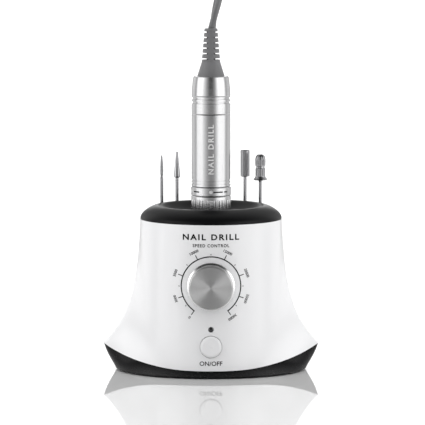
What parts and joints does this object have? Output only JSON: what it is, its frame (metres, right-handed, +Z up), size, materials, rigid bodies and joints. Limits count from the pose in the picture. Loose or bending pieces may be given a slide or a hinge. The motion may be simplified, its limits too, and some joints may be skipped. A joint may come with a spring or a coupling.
{
  "type": "nail drill",
  "caption": "Electric nail drill: bell-shaped control base with a front speed dial and push button, and a pen-shaped handpiece and bits standing in its collar.",
  "frame": {"origin": "on the table, under the handpiece's axis, at the middle of the foot ring", "axes": "+Z up, -Y is the front with the dial, +X to the right seen from the front"},
  "size_m": [0.1441, 0.1909, 0.2543],
  "materials": {
    "shell_white": "glossy",
    "tray_black": "glossy",
    "collar_black": "satin",
    "inner_black": "matte",
    "rubber_dark": "matte",
    "steel_screw": "satin",
    "board_green": "satin",
    "aluminium_fins": "satin",
    "capacitor_sleeve": "glossy",
    "brass_nut": "satin",
    "led_dark": "glossy",
    "knob_black": "satin",
    "knob_metal": "spun",
    "button_white": "glossy",
    "spring_steel": "satin",
    "handpiece_metal": "satin",
    "grip_metal": "satin",
    "relief_grey": "matte",
    "motor_steel": "satin",
    "magnet_dark": "matte",
    "copper_rotor": "satin",
    "carbon": "matte",
    "bit_steel": "polished",
    "bit_grit": "rough",
    "cord_grey": "satin"
  },
  "bodies": {
    "base": {"upper_shell": "shell_white", "base_tray": "tray_black", "collar": "collar_black", "well_sleeve": "inner_black", "well_pad": "rubber_dark", "rubber_foot_ring": "rubber_dark", "housing_screws": "steel_screw", "driver_board": "board_green", "heat_sink": "aluminium_fins", "capacitors": "capacitor_sleeve", "potentiometer": "inner_black", "potentiometer_nut": "brass_nut", "power_switch": "inner_black", "indicator_led": "led_dark", "led_lens": "led_dark", "power_inlet": "inner_black", "handpiece_socket": "inner_black", "button_spring": "spring_steel", "cord_lead": "cord_grey", "cord_coil": "cord_grey", "cord_tail": "cord_grey", "cord_plug": "inner_black"},
    "knob": {"potentiometer_shaft": "steel_screw", "knob_core": "knob_black", "knob_cap": "knob_metal"},
    "power_button": {"power_button": "button_white"},
    "handpiece": {"nose_cone": "grip_metal", "nose_seal": "rubber_dark", "grip_sleeve": "grip_metal", "barrel": "handpiece_metal", "rear_sleeve": "handpiece_metal", "rear_cap": "handpiece_metal", "strain_relief": "relief_grey", "spindle_housing": "motor_steel", "spindle_bearings": "motor_steel", "motor_can": "motor_steel", "motor_bearings": "motor_steel", "magnets": "magnet_dark", "carbon_brushes": "carbon"},
    "handpiece_spindle": {"rotor": "copper_rotor", "motor_shaft": "motor_steel", "coupling": "inner_black", "spindle": "motor_steel", "collet": "spring_steel", "collet_spring": "spring_steel"},
    "lock_ring": {"lock_ring": "handpiece_metal"},
    "release_sleeve": {"release_sleeve": "motor_steel"},
    "needle_bit": {"needle_bit": "bit_steel"},
    "cone_bit": {"cone_bit": "bit_grit"},
    "barrel_bit": {"barrel_bit": "bit_grit"},
    "sanding_mandrel": {"sanding_mandrel": "bit_steel"}
  },
  "joints": [
    {"name": "knob_turn", "type": "hinge", "parent": "base", "child": "knob", "pos_m": [0, -0.05, 0.0608], "axis": [0, 1, 0], "range_deg": [0, 291]},
    {"name": "power_button_press", "type": "slide", "parent": "base", "child": "power_button", "axis": [0, 1, 0], "range_m": [0, 0.0016], "stiffness_N_per_m": 300, "deforming": ["button_spring"]},
    {"name": "handpiece_lift", "type": "slide", "parent": "base", "child": "handpiece", "axis": [0, 0, 1], "range_m": [0, 0.075], "deforming": ["cord_lead"]},
    {"name": "spindle_spin", "type": "hinge", "parent": "handpiece", "child": "handpiece_spindle", "pos_m": [0, 0, 0.1], "axis": [0, 0, 1], "continuous": true},
    {"name": "lock_ring_twist", "type": "hinge", "parent": "handpiece", "child": "lock_ring", "pos_m": [0, 0, 0.1195], "axis": [0, 0, 1], "range_deg": [0, 70]},
    {"name": "release_slide", "type": "slide", "parent": "handpiece", "child": "release_sleeve", "axis": [0, 0, -1], "range_m": [0, 0.0012]},
    {"name": "needle_bit_lift", "type": "slide", "parent": "base", "child": "needle_bit", "axis": [0, 0, 1], "range_m": [0, 0.02]},
    {"name": "cone_bit_lift", "type": "slide", "parent": "base", "child": "cone_bit", "axis": [0, 0, 1], "range_m": [0, 0.02]},
    {"name": "barrel_bit_lift", "type": "slide", "parent": "base", "child": "barrel_bit", "axis": [0, 0, 1], "range_m": [0, 0.02]},
    {"name": "sanding_mandrel_lift", "type": "slide", "parent": "base", "child": "sanding_mandrel", "axis": [0, 0, 1], "range_m": [0, 0.02]}
  ],
  "couplings": [
    {"joint": "release_slide", "follows": "lock_ring_twist", "m_per_rad": 0.0009822}
  ]
}
